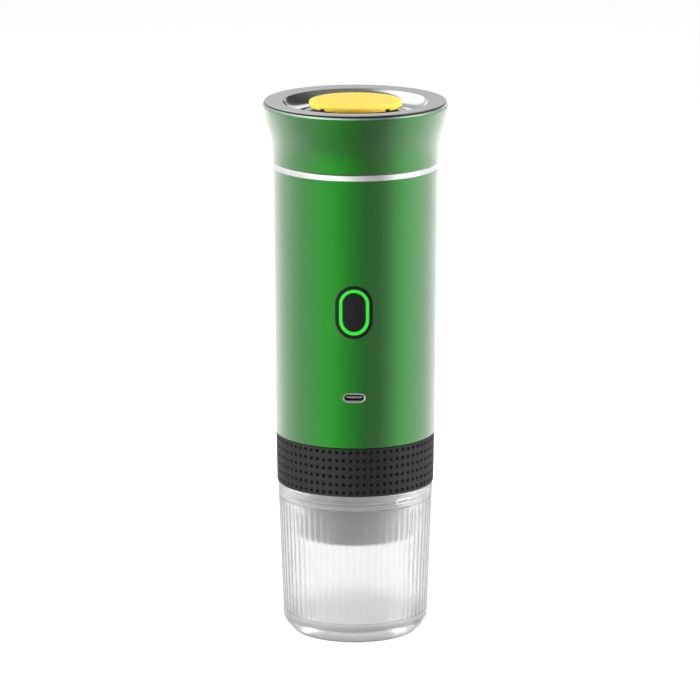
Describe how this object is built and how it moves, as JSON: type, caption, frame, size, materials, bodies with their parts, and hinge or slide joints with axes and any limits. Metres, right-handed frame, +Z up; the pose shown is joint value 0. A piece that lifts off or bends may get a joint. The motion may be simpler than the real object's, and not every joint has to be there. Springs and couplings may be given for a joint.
{
  "type": "portable espresso maker",
  "caption": "Upright battery espresso maker: tapered tube with tank, heater and pump, flared screw lid with a vent button, screw-on brew chamber and a clear push-on cup.",
  "frame": {"origin": "middle of the cup's foot ring, on the surface that the maker stands on", "axes": "+Z up along the axis of the tube; -Y is the front, where the button and the charging port are"},
  "size_m": [0.079, 0.0788, 0.232],
  "materials": {
    "green_metal": "satin",
    "bright_metal": "polished",
    "satin_silver": "satin",
    "steel": "satin",
    "yellow_silicone": "matte",
    "black_plastic": "matte",
    "black_gloss": "gloss",
    "black_rubber": "matte",
    "grey_plastic": "matte",
    "white_silicone": "matte",
    "grey_silicone": "matte",
    "clear_plastic": "gloss",
    "light_guide": "gloss",
    "frame_plastic": "matte",
    "cell_wrap": "satin",
    "nickel": "satin",
    "board_green": "satin",
    "chip_black": "matte",
    "light_chip": "gloss",
    "bronze": "satin",
    "magnet": "matte",
    "lead_red": "satin",
    "lead_black": "satin",
    "heater_film": "satin",
    "pump_plastic": "satin"
  },
  "bodies": {
    "main_body": {"brew_head": "frame_plastic", "shower_screen": "steel", "shower_screw": "steel", "body_tube": "green_metal", "trim_ring": "satin_silver", "water_tank": "steel", "tank_seal": "white_silicone", "tank_nipple": "steel", "heater_plate": "heater_film", "temperature_sensor": "bronze", "inner_frame": "frame_plastic", "cell_tray": "frame_plastic", "cell_straps": "nickel", "main_board": "board_green", "board_chips": "chip_black", "status_leds": "light_chip", "frame_screws": "steel", "motor_screws": "steel", "heater_leads": "lead_red", "motor_leads": "lead_black", "button_bezel": "black_gloss", "led_ring": "light_guide", "switch_body": "chip_black", "port_shell": "steel", "port_tongue": "black_plastic", "motor_can": "steel", "motor_cap": "black_plastic", "motor_bushes": "bronze", "motor_magnets": "magnet", "pump_pistons": "steel", "valve_plate": "pump_plastic", "pump_body": "pump_plastic", "inlet_hose": "white_silicone", "outlet_hose": "white_silicone", "battery_cell_1": "cell_wrap", "battery_cell_2": "cell_wrap", "battery_cell_3": "cell_wrap"},
    "switch_button": {"power_button": "black_gloss", "switch_plunger": "black_plastic"},
    "lid_seal": {"lid_seal": "white_silicone"},
    "lid": {"lid_collar": "green_metal", "lid_rim": "bright_metal", "lid_liner": "black_plastic", "vent_spring": "steel"},
    "vent_button": {"vent_cap": "yellow_silicone", "vent_stem": "black_plastic", "vent_valve": "white_silicone", "vent_screw": "steel"},
    "chamber_seal": {"chamber_seal": "white_silicone"},
    "brew_chamber": {"chamber_body": "grey_plastic", "grip_ring": "black_rubber", "coffee_basket": "steel", "outlet_spout": "grey_plastic", "cup_seal_ring": "grey_silicone"},
    "cup": {"drink_cup": "clear_plastic"},
    "pump_rotor": {"motor_shaft": "steel", "swash_disc": "pump_plastic"}
  },
  "joints": [
    {"name": "switch_press", "type": "slide", "parent": "main_body", "child": "switch_button", "axis": [0, 1, 0], "range_m": [0, 0.0006], "stiffness_N_per_m": 1500, "springref_m": -0.0006},
    {"name": "lid_rise", "type": "slide", "parent": "main_body", "child": "lid_seal", "axis": [0, 0, 1], "range_m": [0, 0.008]},
    {"name": "lid_turn", "type": "hinge", "parent": "lid_seal", "child": "lid", "pos_m": [0, 0, 0.2137], "axis": [0, 0, 1], "range_deg": [0, 240]},
    {"name": "vent_press", "type": "slide", "parent": "lid", "child": "vent_button", "axis": [0, 0, -1], "range_m": [0, 0.0025], "stiffness_N_per_m": 900, "springref_m": -0.0015, "deforming": ["vent_spring"]},
    {"name": "chamber_drop", "type": "slide", "parent": "main_body", "child": "chamber_seal", "axis": [0, 0, -1], "range_m": [0, 0.006]},
    {"name": "chamber_turn", "type": "hinge", "parent": "chamber_seal", "child": "brew_chamber", "pos_m": [0, 0, 0.0805], "axis": [0, 0, -1], "range_deg": [0, 270]},
    {"name": "cup_pull", "type": "slide", "parent": "brew_chamber", "child": "cup", "axis": [0, 0, -1], "range_m": [0, 0.06]},
    {"name": "pump_spin", "type": "hinge", "parent": "main_body", "child": "pump_rotor", "pos_m": [0, 0, 0.14], "axis": [0, 0, 1], "continuous": true}
  ],
  "couplings": [
    {"joint": "lid_rise", "follows": "lid_turn", "m_per_rad": 0.0019099},
    {"joint": "chamber_drop", "follows": "chamber_turn", "m_per_rad": 0.0012732}
  ]
}
